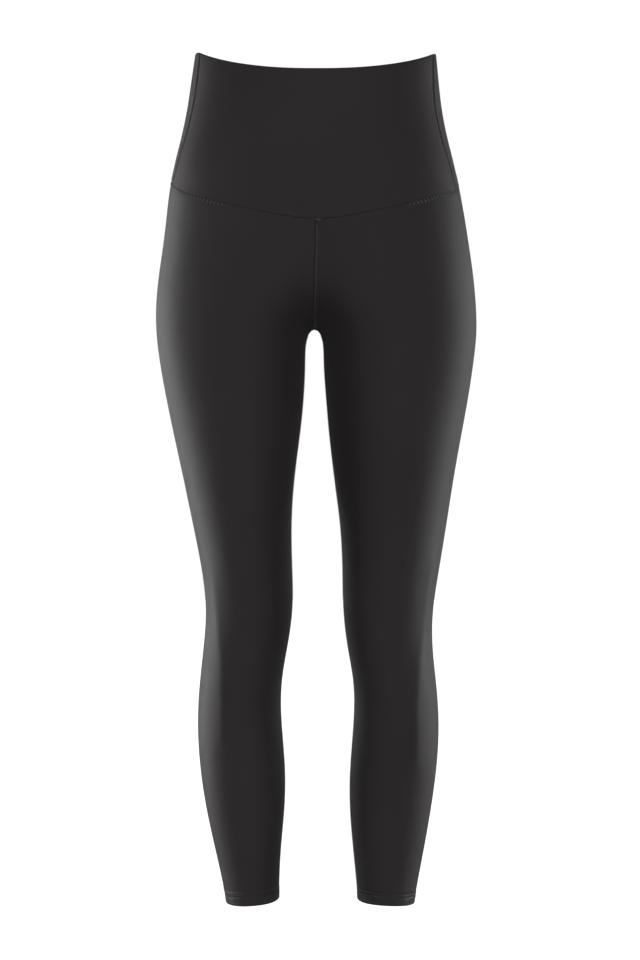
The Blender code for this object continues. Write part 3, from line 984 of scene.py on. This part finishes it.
# The bar tack's pale tone is partly a painted highlight.
tack_thread_and_highlight = thread_material("tack_thread_and_highlight", TACK_THREAD_AND_HIGHLIGHT_TONE)
# The ladder threads' pale tone is a painted highlight.
ladder_thread_painted_highlight = thread_material("ladder_thread_painted_highlight", LADDER_HIGHLIGHT_TONE)
sewing = {word: [] for word in NODE_SLOTS}


def sew_on(piece, word):
    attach(piece, "root")
    sewing[word].append(piece)


def add_waist_stitching(side, word):
    """Threads across the waist seam, on the legs' side of it."""
    girth = np.linspace(WAIST_END_SHARE - 1, 1 - WAIST_END_SHARE, SEAM_SAMPLES)
    rungs = seam_line(side, girth, waist_seam(side, girth), WAIST_LADDER.step)
    downward = -np.sign(rungs.across[0, 2])
    off_middle = np.abs(rungs.points[:, 0])
    near = np.clip((LADDER_LOST_FROM - off_middle) / (LADDER_LOST_FROM - LADDER_LOST_AT), 0, 1)
    sunk = LADDER_LOST * (near * (rungs.points[:, 1] < 0))[:, None, None]
    groups = [ladder(rungs, WAIST_LADDER, downward, sunk)]
    sew_on(threads("waist_stitching_" + word, groups, WAIST_LADDER.radius, ladder_thread_painted_highlight), word)


def add_inseam_stitching(side, word):
    """Threads across the inseam, from just under the fork to the hem."""
    level = np.linspace(CROTCH + INSEAM_START, HEMS[side].inside - INSEAM_END, SEAM_SAMPLES)
    inseam = seam_line(side, np.full(SEAM_SAMPLES, -1.0), level, INSEAM_LADDER.step)
    groups = [ladder(inseam, INSEAM_LADDER)]
    sew_on(threads("inseam_stitching_" + word, groups, INSEAM_LADDER.radius, thread), word)


def add_hem_stitching(side, word):
    """Twin needle lines round the hem, which follow its pucker."""
    girth = np.linspace(-1, 1, SEAM_SAMPLES)
    lean = NEEDLES[side].slant * np.cos(girth * math.pi) - NEEDLE_WAVE * pucker(side, girth)
    groups = [
        needle_line(seam_line(side, girth, hem_edge(side, girth) - height + lean, NEEDLE_STEP))
        for height in (NEEDLES[side].upper, NEEDLES[side].lower)
    ]
    sew_on(threads("hem_stitching_" + word, groups, THREAD, thread), word)


def add_side_stitching(side, word):
    """Threads from the waistband's side seam onto its back piece."""
    share = np.linspace(SIDE_END_SHARE, 1 - SIDE_END_SHARE, SEAM_SAMPLES)
    girth = -SIDE_SEAM[side](share)
    level = top_edge(side, girth) + (waist_seam(side, girth) - top_edge(side, girth)) * share
    joins = seam_line(side, girth, level, SIDE_LADDER.step)
    backward = np.sign(joins.across[0, 1])
    groups = [ladder(joins, SIDE_LADDER, backward)]
    sew_on(threads("side_stitching_" + word, groups, SIDE_LADDER.radius, thread), "back")


def add_centre_stitching():
    """Close threads over the centre seam's ridge, down the front and up the back."""
    below_front = WAIST_SEAM + WAIST_DROP_FRONT + CENTRE_START
    below_back = WAIST_SEAM + WAIST_DROP_BACK + CENTRE_START
    fork = CROTCH - CENTRE_END
    groups = []
    for girth, first, last in ((-1.0, below_front, fork), (1.0, fork, below_back)):
        level = np.linspace(first, last, SEAM_SAMPLES)
        over = seam_line(LEFT, np.full(SEAM_SAMPLES, girth), level, CENTRE_LADDER.step)
        leftward = np.sign(over.across[0, 0])
        groups.append(ladder(over, CENTRE_LADDER, leftward))
    sew_on(threads("centre_stitching", groups, CENTRE_LADDER.radius, pale_thread_and_highlight), "left")


def add_bar_tack():
    """Close rows across the centre seam where it meets the waist seam."""
    start = WAIST_SEAM + WAIST_DROP_FRONT
    level = np.linspace(start, start + len(TACK_ROWS) * TACK_STEP, SEAM_SAMPLES)
    tack = seam_line(LEFT, np.full(SEAM_SAMPLES, -1.0), level, TACK_STEP)
    leftward = np.sign(tack.across[0, 0])
    right_ends, left_ends = np.array(TACK_ROWS).T[:, :, None, None] * leftward
    rows = thread_paths(tack, (0, right_ends), (0, left_ends), TACK_LIFT, TACK_BASE)
    sew_on(threads("bar_tack", [(rows, tack.normals)], THREAD, tack_thread_and_highlight), "left")


for side, word in SIDE_NAMES.items():
    add_waist_stitching(side, word)
    add_inseam_stitching(side, word)
    add_hem_stitching(side, word)
# The overlock's knit is darkened as painted shade behind the waist seam's gap.
overlock = knit_material("knit_overlock_painted_shade", OVERLOCK_PAINTED_SHADE_TONE, OVERLOCK_NOISE_PLACE)
for side, word in SIDE_NAMES.items():
    sew_on(overlock_shell(side, "waist_overlock_" + word, overlock), word)
for side, word in SIDE_NAMES.items():
    add_side_stitching(side, word)
add_centre_stitching()
add_bar_tack()

# ---- Room, light and camera -----------------------------------------------------------------------

FLOOR = -1.06
FLOOR_REACH = 12
FLOOR_TONE = (0.9, 0.9, 0.9, 1.0)
FLOOR_ROUGHNESS = 0.9
FLOOR_GLOW = (1.0, 1.0, 1.0, 1.0)
SEEN_BACKGROUND = (1.02, 1.02, 1.02, 1.0)

CAMERA = (0.0037, -3.2, -0.4532)
CAMERA_CLIPS = (0.1, 60.0)
SENSOR = 36.0
FRAME_TALL = 960
METRES_A_PIXEL = 1.065e-3

# The room's soft light comes from ahead, from high and from low, and a little from all round.
HIGH_FILL = 4.02
LOW_FILL = 2.99
LEFT_FILL = 0.35
ROUND_FILL = 0.024
ROUND_LOW_FILL = 0.047

# Softboxes stand on both sides, turned a little behind the leggings. Angles are from the camera's side.
LIGHT_AWAY = 1.3
LIGHT_SIZE = (0.5, 0.4)
LIGHT_SPREAD = math.radians(70)
SideLight = namedtuple("SideLight", "name side angle height power")
SIDE_LIGHTS = (
    SideLight("top_side_light_right", RIGHT, 90, -0.10, 0.62),
    SideLight("top_slant_light_right", RIGHT, 120, -0.10, 0.46),
    SideLight("top_back_light_right", RIGHT, 132, -0.10, 0.38),
    SideLight("middle_slant_light_right", RIGHT, 120, -0.50, 0.12),
    SideLight("middle_back_light_right", RIGHT, 132, -0.50, 0.37),
    SideLight("low_side_light_right", RIGHT, 90, -0.80, 0.41),
    SideLight("low_light_right", RIGHT, 105, -0.80, 1.60),
    SideLight("low_slant_light_right", RIGHT, 120, -0.80, 0.30),
    SideLight("top_side_light_left", LEFT, 90, -0.10, 0.06),
    SideLight("top_light_left", LEFT, 105, -0.10, 0.16),
    SideLight("top_slant_light_left", LEFT, 120, -0.10, 0.54),
    SideLight("top_back_light_left", LEFT, 132, -0.10, 0.09),
    SideLight("middle_light_left", LEFT, 105, -0.50, 0.11),
    SideLight("middle_slant_light_left", LEFT, 120, -0.50, 0.10),
    SideLight("middle_back_light_left", LEFT, 132, -0.50, 0.17),
    SideLight("low_light_left", LEFT, 105, -0.80, 1.62),
)


def add_floor():
    """A pale ground that neither lights nor shades the leggings."""
    mesh = bpy.data.meshes.new("floor")
    corners = ((-1, -1), (1, -1), (1, 1), (-1, 1))
    mesh.from_pydata([(x * FLOOR_REACH, y * FLOOR_REACH, FLOOR) for x, y in corners], [], [(0, 1, 2, 3)])
    material = bpy.data.materials.new("pale_floor")
    _, shader = nodes_of(material)
    shader.inputs["Base Color"].default_value = FLOOR_TONE
    shader.inputs["Roughness"].default_value = FLOOR_ROUGHNESS
    shader.inputs["Emission Color"].default_value = FLOOR_GLOW
    shader.inputs["Emission Strength"].default_value = 1.0
    mesh.materials.append(material)
    floor = bpy.data.objects.new("floor", mesh)
    floor.visible_diffuse = False
    floor.visible_glossy = False
    floor.visible_shadow = False
    bpy.context.scene.collection.objects.link(floor)


def add_world():
    """The room's light, and the plain background that the camera sees in its place."""
    world = bpy.data.worlds.new("studio")
    bpy.context.scene.world = world
    world.use_nodes = True
    tree = world.node_tree
    link = tree.links.new
    background = tree.nodes["Background"]
    rays = tree.nodes.new("ShaderNodeLightPath")
    toward = tree.nodes.new("ShaderNodeTexCoord")
    parts = tree.nodes.new("ShaderNodeSeparateXYZ")
    link(toward.outputs["Generated"], parts.inputs[0])

    def share(axis, sign):
        return math_node(tree, "MAXIMUM", math_node(tree, "MULTIPLY", parts.outputs[axis], sign), 0.0)

    ahead, above, below, leftward = share("Y", -1.0), share("Z", 1.0), share("Z", -1.0), share("X", 1.0)
    high = math_node(tree, "MULTIPLY", above, HIGH_FILL)
    left = math_node(tree, "MULTIPLY", leftward, LEFT_FILL)
    fill = math_node(tree, "MULTIPLY_ADD", below, LOW_FILL, high)
    fill = math_node(tree, "MULTIPLY_ADD", fill, ahead, left)
    around = math_node(tree, "MULTIPLY_ADD", below, ROUND_LOW_FILL, ROUND_FILL)
    fill = math_node(tree, "MULTIPLY_ADD", fill, ahead, around)
    seen = tree.nodes.new("ShaderNodeMix")
    seen.data_type = "RGBA"
    link(fill, seen.inputs["A"])
    seen.inputs["B"].default_value = SEEN_BACKGROUND
    link(rays.outputs["Is Camera Ray"], seen.inputs["Factor"])
    link(seen.outputs["Result"], background.inputs["Color"])
    background.inputs["Strength"].default_value = 1.0


def add_softbox(name, place, target, power):
    light = bpy.data.lights.new(name, "AREA")
    light.shape = "RECTANGLE"
    light.size, light.size_y = LIGHT_SIZE
    light.spread = LIGHT_SPREAD
    light.energy = power
    lamp = bpy.data.objects.new(name, light)
    lamp.location = place
    heading = np.array(target) - np.array(place)
    heading = heading / np.linalg.norm(heading)
    lamp.rotation_euler = (math.acos(-heading[2]), 0, math.atan2(-heading[0], heading[1]))
    lamp.visible_camera = False
    bpy.context.scene.collection.objects.link(lamp)


def add_camera():
    lens = bpy.data.cameras.new("camera")
    lens.sensor_width = SENSOR
    lens.lens = SENSOR * -CAMERA[1] / (FRAME_TALL * METRES_A_PIXEL)
    lens.clip_start, lens.clip_end = CAMERA_CLIPS
    camera = bpy.data.objects.new("camera", lens)
    camera.location = CAMERA
    camera.rotation_euler = (math.pi / 2, 0, 0)
    bpy.context.scene.collection.objects.link(camera)
    bpy.context.scene.camera = camera


add_floor()
add_world()
for name, side, angle, height, power in SIDE_LIGHTS:
    turn = math.radians(angle)
    place = (side * LIGHT_AWAY * math.sin(turn), -LIGHT_AWAY * math.cos(turn), height)
    add_softbox(name, place, (0, 0, height), power)
add_camera()

bpy.context.scene.view_settings.view_transform = "Standard"
bpy.context.scene.view_settings.look = "None"
